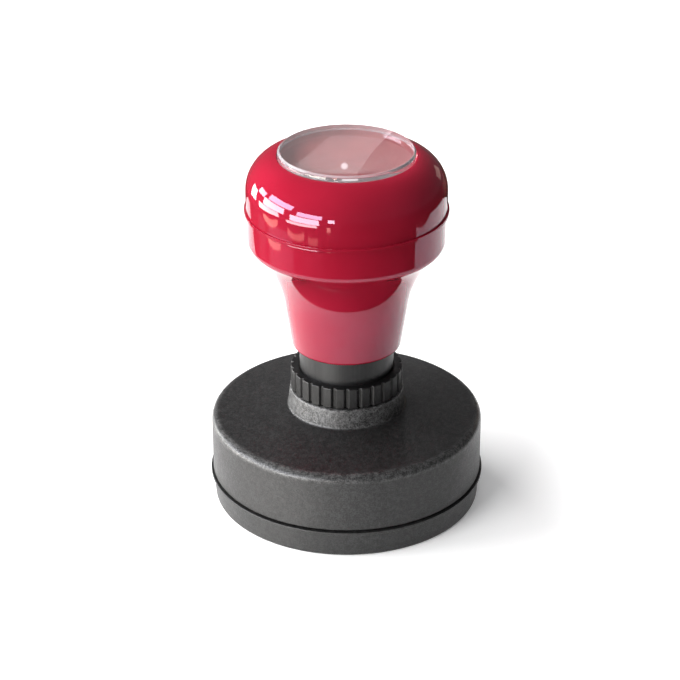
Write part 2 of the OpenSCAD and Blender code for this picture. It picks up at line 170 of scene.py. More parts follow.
# bead blasted black moulding: two sizes of grain, with the collar and the edge of the drum painted pale as a
# painted highlight for the light they catch
def makeBlackBlasted():
    look = {"pit": (0.005, 0.005, 0.005), "peak": (0.026, 0.026, 0.026), "paintedLightPit": (0.012, 0.012, 0.012),
            "paintedLightPeak": (0.15, 0.15, 0.15), "fine": 0.26, "coarse": 0.85, "collarOut": 11.6, "collarLow": 18.9,
            "collarFade": 0.4, "edgeIn": 24.4, "edgeLow": 15.5, "edgeFade": 0.9, "edgeHighlight": 0.45, "smooth": 0.05}
    material, shader, coords = newFinish("blackBlasted", {"IOR": 1.5, "Specular IOR Level": 0.42})
    fine = noise(coords, look["fine"], 2, 0.6)
    coarse = noise(coords, look["coarse"], 2, 0.6)
    grain = fine * 0.6 + coarse * 0.4
    shade = ramp(grain, 0.36, 0.68)
    height = coords.make("ShaderNodeSeparateXYZ", None, {0: coords}, 2) / mm
    away = radiusOf(coords)
    onCollar = (ramp(away, look["collarOut"], look["collarOut"] + look["collarFade"], 1, 0)
                * ramp(height, look["collarLow"], look["collarLow"] + look["collarFade"]))
    onEdge = (ramp(away, look["edgeIn"], look["edgeIn"] + look["edgeFade"])
              * ramp(height, look["edgeLow"], look["edgeLow"] + look["edgeFade"]))
    # painted highlight: the collar, and the drum's edge at 0.45 of the strength, take a paler grain that stands
    # in for the light falling on them
    paintedLight = onCollar.math("MAXIMUM", look["edgeHighlight"] * onEdge)
    plain = mixed(shade, look["pit"], look["peak"])
    plug(shader, "Base Color", mixedWires(paintedLight, plain, mixed(shade, look["paintedLightPit"], look["paintedLightPeak"])))
    wear = noise(coords, 11, 3)
    plug(shader, "Roughness", 0.36 + 0.10 * ramp(wear, 0.3, 0.7) - 0.08 * ramp(grain, 0.5, 0.7)
         - look["smooth"] * onEdge)
    plug(shader, "Normal", bumped(grain, 0.85, 0.10))
    return material


# the adjusting ring: smooth moulding, shinier on the lands where fingers turn it, painted darker in its grooves
# as shade
def makeBlackRing():
    look = {"groove": (0.004, 0.004, 0.004), "land": (0.011, 0.011, 0.0112), "root": 10.3, "top": 10.68}
    material, shader, coords = newFinish("blackRing", {"IOR": 1.5, "Specular IOR Level": 0.36})
    onLand = ramp(radiusOf(coords), look["root"], look["top"])
    speck = noise(coords, 0.6, 3, 0.6)
    # painted shade: the grooves, and all of the ring nearer the axis than the lands, take the darker groove
    # colour
    plug(shader, "Base Color", mixed(onLand * ramp(speck, 0.25, 0.6), look["groove"], look["land"]))
    plug(shader, "Roughness", 0.40 - 0.06 * onLand + 0.12 * ramp(noise(coords, 2.2, 3), 0.35, 0.7))
    plug(shader, "Normal", bumped(speck, 0.25, 0.03))
    return material


# extruded satin neck: faint lines along it from sliding in the handle
def makeNeckSatin():
    look = {"dark": (0.010, 0.010, 0.0103), "pale": (0.014, 0.014, 0.0145)}
    material, shader, coords = newFinish("neckSatin", {"IOR": 1.5, "Specular IOR Level": 0.34})
    lines = noise(stretched(coords, (1, 1, 0.03)), 0.5, 3, 0.5)
    plug(shader, "Base Color", mixed(ramp(lines, 0.35, 0.65), look["dark"], look["pale"]))
    plug(shader, "Roughness", 0.30 + 0.14 * ramp(noise(coords, 5, 3), 0.3, 0.7))
    plug(shader, "Normal", bumped(lines, 0.05, 0.015))
    return material


# clear acrylic with the odd finger smear, and its cut edge painted milky pale as a painted highlight for the
# bright rim
def makeClearLens():
    look = {"tint": (0.985, 0.970, 0.975), "smudge": (0.96, 0.95, 0.955), "paleRim": (0.90, 0.82, 0.86, 1),
            "clean": 0.015, "smear": 0.06, "paleRimRough": 0.2, "index": 1.49,
            "edgeIn": 12.2, "edge": 12.4, "edgeOut": 12.74, "edgeFade": 0.1}
    material, shader, coords = newFinish("clearLens", {"IOR": look["index"], "Transmission Weight": 1.0})
    smear = ramp(noise(stretched(coords, (1, 0.5, 1)), 6, 4), 0.52, 0.74)
    plug(shader, "Base Color", mixed(smear, look["tint"], look["smudge"]))
    plug(shader, "Roughness", look["clean"] + smear * (look["smear"] - look["clean"]))
    paleRimShader = smear.make("ShaderNodeBsdfPrincipled", None, {
        "Base Color": look["paleRim"], "Roughness": look["paleRimRough"], "IOR": look["index"]})
    away = radiusOf(coords)
    # painted highlight: a pale, half opaque band over the chamfer and the side wall stands in for the bright
    # rim of the lens
    onEdge = (ramp(away, look["edgeIn"], look["edge"])
              * ramp(away, look["edgeOut"] - look["edgeFade"], look["edgeOut"], 0.4, 0.12)
              * (0.75 + 0.5 * smear))
    clear = Wire(material.node_tree, shader.outputs[0])
    both = onEdge.make("ShaderNodeMixShader", None, {0: onEdge, 1: clear, 2: paleRimShader})
    feed(material.node_tree, material.node_tree.nodes["Material Output"].inputs["Surface"], both)
    return material


# the index card: rose paper with fibres, and a pale spot painted a little in front of its middle
def makeCardPaper():
    look = {"rose": (0.33, 0.092, 0.098), "light": (0.40, 0.118, 0.120), "mark": (0.95, 0.74, 0.76),
            "markEdge": 0.85, "markCore": 0.3, "markFront": 4.6, "markLeft": 0.4, "markLong": 0.45}
    material, shader, coords = newFinish("cardPaper", {"Specular IOR Level": 0.1})
    fibre = noise(stretched(coords, (1, 0.2, 1)), 0.5, 4, 0.65)
    cloud = noise(coords, 5, 3)
    paper = mixed(ramp(fibre * 0.45 + cloud * 0.55, 0.35, 0.65), look["rose"], look["light"])
    # a pale spot painted on the card, 4.6 mm in front of the middle and drawn out from front to back
    atMark = coords.make("ShaderNodeMapping", None, {
        "Vector": coords, "Location": (look["markLeft"] * mm, look["markFront"] * look["markLong"] * mm, 0),
        "Scale": (1, look["markLong"], 1)})
    onMark = ramp(radiusOf(atMark), look["markCore"], look["markEdge"], 1, 0)
    plug(shader, "Base Color", mixedWires(onMark, paper, (*look["mark"], 1)))
    plug(shader, "Roughness", 0.62 + 0.2 * ramp(fibre, 0.3, 0.7))
    plug(shader, "Normal", bumped(fibre, 0.2, 0.02))
    return material


# zinc plated steel for the spring, screw, washers and clip
def makePlatedSteel():
    material, shader, coords = newFinish("platedSteel", {"IOR": 2.5})
    bloom = noise(coords, 1.6, 3, 0.6)
    plug(shader, "Base Color", mixed(ramp(bloom, 0.3, 0.7), (0.50, 0.50, 0.49), (0.66, 0.67, 0.69)))
    plug(shader, "Metallic", 1.0 - 0.15 * ramp(bloom, 0.62, 0.8))
    plug(shader, "Roughness", 0.24 + 0.16 * ramp(noise(coords, 0.5, 2), 0.3, 0.7))
    plug(shader, "Normal", bumped(noise(stretched(coords, (1, 1, 4)), 0.4, 2), 0.1, 0.01))
    return material


# white moulding of the die holder, marbled a little where ink crept along it
def makeWhiteMoulding():
    material, shader, coords = newFinish("whiteMoulding", {"IOR": 1.5})
    stain = ramp(noise(coords, 6, 4, 0.6), 0.56, 0.72)
    plug(shader, "Base Color", mixed(stain * 0.5, (0.70, 0.70, 0.67), (0.56, 0.36, 0.36)))
    plug(shader, "Roughness", 0.36 + 0.14 * ramp(noise(coords, 1.2, 2), 0.3, 0.7))
    plug(shader, "Normal", bumped(noise(coords, 0.5, 2), 0.12, 0.02))
    return material


# black rubber with dusty bloom
def makeSoftRubber():
    material, shader, coords = newFinish("softRubber", {"IOR": 1.5, "Specular IOR Level": 0.35})
    bloom = noise(coords, 0.9, 4, 0.65)
    plug(shader, "Base Color", mixed(ramp(bloom, 0.4, 0.75), (0.012, 0.012, 0.012), (0.045, 0.045, 0.044)))
    plug(shader, "Roughness", 0.66 + 0.2 * ramp(bloom, 0.3, 0.7))
    plug(shader, "Normal", bumped(noise(coords, 0.3, 2), 0.3, 0.02))
    return material


# microporous die: open cells, and a plain double ring left porous, where the ink comes through
def makeDieFoam():
    look = {"cell": 0.22, "rings": ((19.2, 20.0), (17.9, 18.25)), "edge": 0.12,
            "sealed": (0.075, 0.068, 0.070), "inked": (0.26, 0.006, 0.018)}
    material, shader, coords = newFinish("dieFoam", {"Specular IOR Level": 0.3})
    cells = coords.make("ShaderNodeTexVoronoi", {"feature": "F1"},
                        {"Vector": coords, "Scale": 1 / (look["cell"] * mm)})
    away = radiusOf(coords)
    onRing = None
    for inner, outer in look["rings"]:
        band = (ramp(away, inner - look["edge"], inner + look["edge"])
                * ramp(away, outer - look["edge"], outer + look["edge"], 1, 0))
        onRing = band if onRing is None else onRing + band
    stain = ramp(noise(coords, 8, 4, 0.6), 0.5, 0.8) * 0.35
    sealed = mixed(ramp(cells, 0.1, 0.6), (0.035, 0.032, 0.033), look["sealed"])
    plug(shader, "Base Color", mixedWires(onRing.math("MAXIMUM", stain), sealed, (*look["inked"], 1)))
    plug(shader, "Roughness", 0.72 - 0.25 * onRing)
    plug(shader, "Normal", bumped(ramp(cells, 0.0, 0.5) - 0.5 * onRing, 0.45, 0.05))
    return material


# felt soaked with red ink
def makeInkedFelt():
    material, shader, coords = newFinish("inkedFelt", {"Sheen Weight": 0.25, "Specular IOR Level": 0.3})
    hair = noise(stretched(coords, (1, 0.3, 2)), 0.45, 4, 0.7)
    soak = noise(coords, 5, 3)
    plug(shader, "Base Color", mixed(ramp(hair * 0.5 + soak * 0.5, 0.35, 0.65),
                                     (0.11, 0.002, 0.006), (0.30, 0.010, 0.020)))
    plug(shader, "Roughness", 0.55 + 0.35 * ramp(soak, 0.3, 0.7))
    plug(shader, "Normal", bumped(hair, 0.6, 0.12))
    return material


finishes = {
    "red_gloss": makeRedShell(),
    "black_blasted": makeBlackBlasted(),
    "black_ring": makeBlackRing(),
    "neck_satin": makeNeckSatin(),
    "clear": makeClearLens(),
    "card": makeCardPaper(),
    "steel": makePlatedSteel(),
    "white_moulding": makeWhiteMoulding(),
    "soft_rubber": makeSoftRubber(),
    "die_foam": makeDieFoam(),
    "inked_felt": makeInkedFelt(),
}
print("finishes ready:", len(finishes))


# mesh helpers, all in millimetres round the Z axis
def reach(node):
    low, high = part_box(node)
    return max(high.x, high.y) / mm, low.z / mm, high.z / mm


def arc(centre, start, end, steps):
    c, a, b = Vector(centre), Vector(start) - Vector(centre), Vector(end) - Vector(centre)
    first = math.atan2(a.y, a.x)
    sweep = (math.atan2(b.y, b.x) - first + math.pi) % turn - math.pi
    return [(c.x + a.length * math.cos(first + sweep * k / steps),
             c.y + a.length * math.sin(first + sweep * k / steps)) for k in range(steps + 1)]


# each corner is (radius, height) or (radius, height, rounding)
def softened(corners, steps=5):
    outline = []
    for k, corner in enumerate(corners):
        here = Vector(corner[:2])
        if len(corner) == 2:
            outline.append(tuple(here))
            continue
        back = (Vector(corners[k - 1][:2]) - here).normalized()
        ahead = (Vector(corners[(k + 1) % len(corners)][:2]) - here).normalized()
        half = back.angle(ahead) / 2
        centre = here + (back + ahead).normalized() * corner[2] / math.sin(half)
        run = corner[2] / math.tan(half)
        fine = steps if corner[2] < 1 else 4 * steps
        outline += arc(centre, here + back * run, here + ahead * run, fine)
    return outline


# more rings close to both ends of a long straight run, so that shading stays flat up to a small rounding
def held(outline, near=0.12):
    full = []
    for here, ahead in zip(outline, outline[1:] + outline[:1]):
        full.append(here)
        gap = math.dist(here, ahead)
        if gap > 8 * near and max(here[0], ahead[0]) > 1e-6:
            full += [tuple(Vector(here).lerp(Vector(ahead), share)) for share in (near / gap, 1 - near / gap)]
    return full


def turned(name, outline, around=192):
    bm = bmesh.new()
    rings = []
    for radius, height in held(outline):
        count = around if radius > 1e-6 else 1
        rings.append([bm.verts.new((radius * mm * math.cos(turn * k / around),
                                    radius * mm * math.sin(turn * k / around), height * mm))
                      for k in range(count)])
    for low, high in zip(rings, rings[1:] + rings[:1]):
        if len(low) == len(high) == 1:
            continue
        for k in range(around):
            face = [low[k % len(low)], low[(k + 1) % len(low)], high[(k + 1) % len(high)], high[k % len(high)]]
            bm.faces.new(list(dict.fromkeys(face)))
    bmesh.ops.remove_doubles(bm, verts=bm.verts, dist=1e-8)
    bmesh.ops.recalc_face_normals(bm, faces=bm.faces)
    return asPiece(name, bm)


def asPiece(name, bm):
    mesh = bpy.data.meshes.new(name)
    bm.to_mesh(mesh)
    bm.free()
    piece = bpy.data.objects.new(name, mesh)
    scene.collection.objects.link(piece)
    smoothed(piece)
    return piece


def smoothed(piece, angle=35):
    piece.data.shade_smooth()
    piece.data.set_sharp_from_angle(angle=math.radians(angle))


def settle(piece, slot, body, *nodes):
    piece.data.materials.clear()
    piece.data.materials.append(finishes[slot])
    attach(piece, body)
    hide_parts(*nodes)
    return piece


# geometry trees
def newTree(name, inputs):
    tree = bpy.data.node_groups.new(name, "GeometryNodeTree")
    tree.interface.new_socket("Geometry", in_out="INPUT", socket_type="NodeSocketGeometry")
    for label, kind in inputs.items():
        tree.interface.new_socket(label, in_out="INPUT", socket_type="NodeSocket" + kind)
    tree.interface.new_socket("Geometry", in_out="OUTPUT", socket_type="NodeSocketGeometry")
    source = tree.nodes.new("NodeGroupInput")
    return tree, {socket.name: Wire(tree, socket) for socket in source.outputs if socket.name}


def endTree(tree, shape, finish):
    real = shape.make("GeometryNodeRealizeInstances", None, {"Geometry": shape})
    painted = real.make("GeometryNodeSetMaterial", None, {"Geometry": real, "Material": finish})
    feed(tree, tree.nodes.new("NodeGroupOutput").inputs["Geometry"], painted)


def grown(name, blank, tree, values):
    modifier = blank.modifiers.new(name, "NODES")
    modifier.node_group = tree
    for item in tree.interface.items_tree:
        if item.in_out == "INPUT" and item.name in values:
            modifier[item.identifier] = values[item.name]
    mesh = bpy.data.meshes.new_from_object(blank.evaluated_get(bpy.context.evaluated_depsgraph_get()))
    blank.modifiers.remove(modifier)
    bpy.data.objects.remove(blank)
    piece = bpy.data.objects.new(name, mesh)
    scene.collection.objects.link(piece)
    smoothed(piece)
    return piece


# dust cap with a bead round its rim
def makeDustCap():
    sizes = {"draft": 0.35, "bead": 0.6, "beadOut": 0.45, "wall": 1.25, "floor": 1.2, "foot": 3.5,
             "recess": 0.3}
    rim, bottom, top = reach("dust_cap")
    wall = rim - sizes["beadOut"]
    base = wall - sizes["draft"]
    inside = wall - sizes["wall"]
    under = top - sizes["bead"]
    footIn = base - sizes["foot"]
    outline = softened([
        (0, bottom + sizes["recess"]), (footIn, bottom + sizes["recess"], 0.1), (footIn, bottom, 0.12),
        (base, bottom, 0.6), (wall, under, 0.15), (rim, under, 0.12), (rim, top, 0.1),
        (inside, top, 0.3), (inside, bottom + sizes["floor"], 0.5), (0, bottom + sizes["floor"])])
    return settle(turned("dustCap", outline), "black_blasted", "cap", "dust_cap")


# drum, low roof and collar
def makeHousing():
    sizes = {"skirtWall": 1.1, "seam": 0.3, "drumWall": 1.8, "roofRise": 1.5, "roof": 2.0, "collar": 4.0,
             "collarWall": 1.85, "flare": 0.45, "clipOut": 2.0, "clear": 0.04, "edge": 1.5, "capWall": 1.25,
             "beadOut": 0.45, "capGap": 0.15, "fillet": 0.5}
    drum, bottom, top = reach("housing")
    capRim, _, capTop = reach("dust_cap")
    skirt = capRim - sizes["beadOut"] - sizes["capWall"] - sizes["capGap"]
    skirtIn = skirt - sizes["skirtWall"]
    drumIn = drum - sizes["drumWall"]
    lower = capTop + sizes["seam"]
    roof = top - sizes["collar"]
    rimZ = roof - sizes["roofRise"]
    bore = reach("neck_clip")[0] - sizes["clipOut"] + sizes["clear"]
    collarTop = bore + sizes["collarWall"]
    collarFoot = collarTop + sizes["flare"]
    ceiling = roof - sizes["roof"]
    innerRim = rimZ - sizes["roof"] + (drum - drumIn) * sizes["roofRise"] / (drum - collarFoot)
    outline = softened([
        (skirtIn, bottom, 0.2), (skirt, bottom, 0.35), (skirt, lower, 0.12), (drum, lower, 0.18),
        (drum, rimZ, sizes["edge"]), (collarFoot, roof, sizes["fillet"]), (collarTop, top, 0.3),
        (bore, top, 0.12), (bore, ceiling, 0.1), (collarFoot, ceiling, 0.4), (drumIn, innerRim, 0.5),
        (drumIn, lower, 0.1), (skirtIn, lower, 0.1)])
    return settle(turned("housingShell", outline), "black_blasted", "housing", "housing")


# neck tube with its spring ledge, clip groove and the shoulder that the ring turns on
def makeNeckTube():
    sizes = {"wall": 1.4, "postBore": 4.06, "ledge": 2.8, "lip": 1.0, "clip": 0.8, "groove": 0.6,
             "shoulderOut": 0.6, "shoulder": 1.9}
    shoulder, bottom, top = reach("neck_tube")
    outer = shoulder - sizes["shoulderOut"]
    bore = outer - sizes["wall"]
    clipLow, clipHigh = bottom + sizes["lip"], bottom + sizes["lip"] + sizes["clip"]
    seat = reach("housing")[2]
    ledge = bottom + sizes["ledge"]
    grooveIn = outer - sizes["groove"]
    thread = seat + sizes["shoulder"]
    outline = softened([
        (sizes["postBore"], bottom, 0.1), (outer, bottom, 0.15), (outer, clipLow, 0.05),
        (grooveIn, clipLow, 0.05), (grooveIn, clipHigh, 0.05), (outer, clipHigh, 0.05), (outer, seat, 0.05),
        (shoulder, seat, 0.1), (shoulder, thread, 0.15), (outer, thread, 0.05), (outer, top, 0.35),
        (bore, top, 0.2), (bore, ledge, 0.2), (sizes["postBore"], ledge, 0.1)])
    return settle(turned("neckTube", outline), "neck_satin", "housing", "neck_tube")


# adjusting ring: a plain turned blank, then the tree sinks a groove between every two lands
def ringTree():
    tree, given = newTree("landedRing", {"Lands": "Int", "Outer Radius": "Float", "Skin": "Float",
                                         "Groove Depth": "Float", "Groove Floor": "Float",
                                         "Groove Width": "Float", "Finish": "Material"})
    place = given["Geometry"].make("GeometryNodeInputPosition")
    x = place.make("ShaderNodeSeparateXYZ", None, {0: place})
    y = x.other(1)
    away = (x * x + y * y).math("SQRT")
    share = (y.math("ARCTAN2", x) + turn / 4) * given["Lands"] / turn  # whole numbers fall on grooves
    offGroove = ((share + 0.5).math("FRACT") - 0.5).math("ABSOLUTE")
    aside = offGroove * turn * given["Outer Radius"] / given["Lands"]
    sink = ramp(aside, given["Groove Floor"] / 2, given["Groove Width"] / 2, given["Groove Depth"], 0)
    sink = sink * away.math("GREATER_THAN", given["Outer Radius"] - given["Skin"]) / away
    shift = sink.make("ShaderNodeCombineXYZ", None, {0: 0 - sink * x, 1: 0 - sink * y})
    moved = shift.make("GeometryNodeSetPosition", None, {"Geometry": given["Geometry"], "Offset": shift})
    endTree(tree, moved, given["Finish"])
    return tree


def makeAdjustingRing():
    sizes = {"lands": 27, "perLand": 24, "grooveDepth": 0.44, "grooveFloor": 0.26, "grooveWidth": 0.98,
             "skin": 0.6, "wall": 1.04, "lip": 0.06, "edge": 0.16, "shoulderOut": 0.6, "shoulder": 1.9,
             "seatGap": 0.05, "dragHigh": 0.8, "dragDeep": 0.74}
    outer, bottom, top = reach("adjusting_ring")
    threadBore = outer - sizes["wall"]
    neck = reach("neck_tube")[0] - sizes["shoulderOut"] + sizes["lip"]
    seat = reach("housing")[2] + sizes["shoulder"] + sizes["seatGap"]
    lipZ = seat + sizes["dragHigh"]
    dragBore = neck + sizes["dragDeep"]
    inner = outer - 1.5 * sizes["skin"]
    outline = softened([
        (threadBore, bottom, 0.1), (outer, bottom, sizes["edge"]), (outer, top, sizes["edge"]), (inner, top),
        (neck, top, 0.15), (neck, lipZ, 0.05), (dragBore, lipZ), (dragBore, seat), (threadBore, seat)], 4)
    blank = turned("ringBlank", outline, sizes["lands"] * sizes["perLand"])
    ring = grown("adjustingRing", blank, ringTree(), {
        "Lands": sizes["lands"], "Outer Radius": outer * mm, "Skin": sizes["skin"] * mm,
        "Groove Depth": sizes["grooveDepth"] * mm, "Groove Floor": sizes["grooveFloor"] * mm,
        "Groove Width": sizes["grooveWidth"] * mm, "Finish": finishes["black_ring"]})
    return settle(ring, "black_ring", "ring", "adjusting_ring")


def makeDragRing():
    sizes = {"section": 0.7, "points": 24}
    outer, bottom, top = reach("drag_ring")
    centre = (outer - sizes["section"] / 2, (bottom + top) / 2)
    outline = [(centre[0] + sizes["section"] / 2 * math.cos(turn * k / sizes["points"]),
                centre[1] + sizes["section"] / 2 * math.sin(turn * k / sizes["points"]))
               for k in range(sizes["points"])]
    return settle(turned("dragRing", outline), "soft_rubber", "ring_carrier", "drag_ring")


# return spring: a spiral whose first and last turns lie close, swept with a round wire
def springTree():
    tree, given = newTree("returnSpring", {"Turns": "Int", "Steps": "Int", "Coil Radius": "Float",
                                           "Wire Radius": "Float", "Low": "Float", "High": "Float",
                                           "End Rise": "Float", "Finish": "Material"})
    spiral = given["Geometry"].make("GeometryNodeCurveSpiral", None, {
        "Resolution": given["Steps"], "Rotations": given["Turns"], "Start Radius": given["Coil Radius"],
        "End Radius": given["Coil Radius"], "Height": 0.0})
    turns = spiral.make("GeometryNodeInputIndex") / given["Steps"]
    last = given["Turns"] - 1
    midRise = (given["High"] - given["Low"] - 2 * given["End Rise"]) / (given["Turns"] - 2)
    ends = turns.math("MINIMUM", 1) + (turns - last).math("MAXIMUM", 0)
    middle = turns.math("MINIMUM", last).math("MAXIMUM", 1) - 1
    lift = given["Low"] + ends * given["End Rise"] + middle * midRise
    offset = lift.make("ShaderNodeCombineXYZ", None, {2: lift})
    raised = offset.make("GeometryNodeSetPosition", None, {"Geometry": spiral, "Offset": offset})
    wire = raised.make("GeometryNodeCurvePrimitiveCircle", None, {
        "Resolution": 14, "Radius": given["Wire Radius"]})
    swept = wire.make("GeometryNodeCurveToMesh", None, {
        "Curve": raised, "Profile Curve": wire, "Fill Caps": True})
    endTree(tree, swept, given["Finish"])
    return tree


def makeReturnSpring():
    sizes = {"turns": 10, "steps": 40, "wire": 1.0, "gap": 0.6}
    outer, bottom, top = reach("return_spring")
    half = sizes["wire"] / 2
    travel = next(j for j in frame["joints"] if j["name"] == "handle_press")["range_m"][1]
    blank = bpy.data.objects.new("springBlank", bpy.data.meshes.new("springBlank"))
    scene.collection.objects.link(blank)
    spring = grown("returnSpring", blank, springTree(), {
        "Turns": sizes["turns"], "Steps": sizes["steps"], "Coil Radius": (outer - half) * mm,
        "Wire Radius": half * mm, "Low": (bottom + half) * mm, "High": (top - half) * mm,
        "End Rise": (sizes["wire"] + sizes["gap"]) * mm, "Finish": finishes["steel"]})
    settle(spring, "steel", "housing", "return_spring")
    height = (top - bottom) * mm
    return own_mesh(spring, "handle_press", axis=(0, 0, 1), anchor=(0, 0, bottom * mm),
                     keep=(height - travel) / height)


# grip: cone, long hollow curve, small round and straight band, hollow inside with a web for the screw
def makeGrip():
    sizes = {"shoulderOut": 0.6, "slideGap": 0.06, "footWall": 1.35, "cone": 8.6, "coneShare": 0.316,
             "bandShare": 0.2, "round": 1.8, "footEdge": 0.35, "web": 2.0, "square": 5.08, "mouthWall": 1.5,
             "spigot": 3.5, "well": 13.76}
    band, foot, seam = reach("handle_grip")
    height = seam - foot
    bore = reach("neck_tube")[0] - sizes["shoulderOut"] + sizes["slideGap"]
    footR = bore + sizes["footWall"]
    lean = math.radians(sizes["cone"])
    coneHigh = sizes["coneShare"] * height
    coneEnd = Vector((footR + coneHigh * math.tan(lean), foot + coneHigh))
    roundAt = Vector((band - sizes["round"], seam - sizes["bandShare"] * height))
    gap = coneEnd - roundAt
    blend = ((gap.length_squared - sizes["round"] ** 2)
             / (2 * (sizes["round"] - gap.x * math.cos(lean) + gap.y * math.sin(lean))))
    blendAt = coneEnd + blend * Vector((math.cos(lean), -math.sin(lean)))
    meet = blendAt + (roundAt - blendAt) * blend / (blend + sizes["round"])
    webTop = reach("screw_washer")[1]
    webLow = webTop - sizes["web"]
    holeR = sizes["square"] / math.sqrt(2)
    mouth = band - sizes["mouthWall"]
    lower = softened([(bore, webLow), (bore, foot, 0.25), (footR, foot, sizes["footEdge"]), tuple(coneEnd)])
    outline = lower[:-1] + arc(blendAt, coneEnd, meet, 40) + arc(roundAt, meet, (band, roundAt.y), 16)[1:]
    upper = softened([
        (band, roundAt.y), (band, seam, 0.3), (mouth, seam, 0.2), (mouth, seam - sizes["spigot"]),
        (sizes["well"], seam - sizes["spigot"], 0.2), (sizes["well"], webTop, 0.4), (holeR, webTop),
        (holeR, webLow), (bore, webLow)])
    grip = turned("gripShell", outline + upper[1:-1])
    squareUp(grip, holeR, sizes["square"] / 2)
    return settle(grip, "red_gloss", "press", "handle_grip")


# pulls a round hole's rings out to a square
def squareUp(piece, radius, half):
    for vertex in piece.data.vertices:
        x, y = vertex.co.x / mm, vertex.co.y / mm
        if abs(math.hypot(x, y) - radius) < 1e-3:
            pull = half / max(abs(x), abs(y))
            vertex.co.x *= pull
            vertex.co.y *= pull


# crown: a thin lip at the seam, straight wall, large round up to the lens, hollow inside
def makeCrown():
    sizes = {"shoulder": 6.7, "lipOut": 0.35, "lipHigh": 0.5, "lipEdge": 0.02, "lipHold": 0.05,
             "mouthWall": 1.5, "spigotGap": 0.04, "spigotWall": 1.6, "floor": 1.6, "driver": 3.6,
             "lensGap": 0.06, "rim": 0.12}
    lip, bottom, top = reach("handle_crown")
    wall = lip - sizes["lipOut"]
    seam = reach("handle_grip")[2]
    spigot = reach("handle_grip")[0] - sizes["mouthWall"] - sizes["spigotGap"]
    hollow = spigot - sizes["spigotWall"]
    recess = reach("index_lens")[0] + sizes["lensGap"]
    shelf = reach("index_card")[1]
    under = shelf - sizes["floor"]
    bend = sizes["shoulder"]
    bendAt = Vector((wall - bend, top - math.sqrt(bend ** 2 - (recess - wall + bend) ** 2)))
    rim = recess + sizes["rim"]
    rimZ = bendAt.y + math.sqrt(bend ** 2 - (rim - bendAt.x) ** 2)
    lipTop = seam + sizes["lipHigh"]
    lower = softened([
        (hollow, bottom), (spigot, bottom, 0.3), (spigot, seam), (lip, seam, sizes["lipEdge"]),
        (lip, seam + sizes["lipHold"]), (lip, lipTop - sizes["lipHold"]), (lip, lipTop, sizes["lipEdge"]),
        (wall, lipTop), (wall, bendAt.y)], 6)
    inner = softened([
        (recess, rimZ - sizes["rim"]), (recess, shelf, 0.15), (sizes["driver"], shelf, 0.1),
        (sizes["driver"], under, 0.1), (hollow, under, 0.6), (hollow, bottom)], 6)
    outline = lower[:-1] + arc(bendAt, (wall, bendAt.y), (rim, rimZ), 40) + inner[:-1]
    return settle(turned("crownShell", outline), "red_gloss", "press", "handle_crown")


def makeIndexCard():
    sizes = {"border": 2, "middle": 0.8}
    outer, bottom, top = reach("index_card")
    outline = softened([(0, bottom), (outer, bottom, 0.05), (outer, top, 0.08), (outer - sizes["border"], top),
                        (sizes["middle"], top), (0, top)])
    return settle(turned("indexCard", outline), "card", "press", "index_card")


# lens: straight edge, small chamfer and a shallow dome
def makeIndexLens():
    sizes = {"dome": 0.5, "chamfer": 0.35, "steps": 36}
    outer, bottom, top = reach("index_lens")
    edge = top - sizes["dome"]
    ball = (outer ** 2 + sizes["dome"] ** 2) / (2 * sizes["dome"])
    start = outer - sizes["chamfer"]
    dome = []
    for k in range(sizes["steps"] + 1):
        r = start * (1 - k / sizes["steps"])
        dome.append((r, top - ball + math.sqrt(ball ** 2 - r ** 2)))
    rise = softened([(0, bottom), (outer, bottom, 0.12), (outer, edge - sizes["chamfer"], 0.12), dome[0]])
    lens = settle(turned("indexLens", rise[:-1] + dome), "clear", "lens", "index_lens")
    lens.visible_shadow = False
    return lens


# printing pieces inside the skirt
def makeDie():
    sizes = {"step": 1.5, "stepWide": 1.05, "soft": 0.16, "crown": 0.04, "rings": 14}
    flange, face, top = reach("flash_die")
    edge = flange - sizes["stepWide"]
    ledge = face + sizes["step"]
    printed = [(edge * k / sizes["rings"], face + sizes["crown"] * (k / sizes["rings"]) ** 4)
               for k in range(sizes["rings"])]
    outline = printed + softened([
        (edge, face + sizes["crown"], sizes["soft"]), (edge, ledge, 0.1), (flange, ledge, 0.12),
        (flange, top, 0.2), (0, top)])
    die = settle(turned("flashDie", outline), "die_foam", "press", "flash_die")
    return die


def makeInkPad():
    sizes = {"soft": 0.5, "bulge": 0.22}
    outer, bottom, top = reach("ink_pad")
    side = outer - sizes["bulge"]
    outline = softened([(0, bottom), (side, bottom, sizes["soft"]), (outer, (bottom + top) / 2, 0.6),
                        (side, top, sizes["soft"]), (0, top)])
    pad = settle(turned("inkPad", outline), "inked_felt", "press", "ink_pad")
    return pad


def makeDieFrame():
    sizes = {"wall": 0.9, "lip": 0.86, "dieGap": 0.04, "stepWide": 1.05}
    outer, bottom, top = reach("die_frame")
    lipIn = reach("flash_die")[0] - sizes["stepWide"] + sizes["dieGap"]
    outline = softened([
        (lipIn, bottom, 0.2), (outer, bottom, 0.35), (outer, top, 0.15), (outer - sizes["wall"], top, 0.15),
        (outer - sizes["wall"], bottom + sizes["lip"], 0.1), (lipIn, bottom + sizes["lip"], 0.1)])
    return settle(turned("dieFrame", outline), "black_ring", "press", "die_frame")


def makeBumper():
    sizes = {"cup": 7.6, "hub": 4.04}
    outer, bottom, top = reach("bumper_ring")
    inner = reach("spring_cup")[0] - sizes["cup"] + sizes["hub"]
    outline = softened([(inner, bottom, 0.1), (outer, bottom, 0.15), (outer, top, 0.25), (inner, top, 0.2)])
    return settle(turned("bumperRing", outline), "soft_rubber", "press", "bumper_ring")


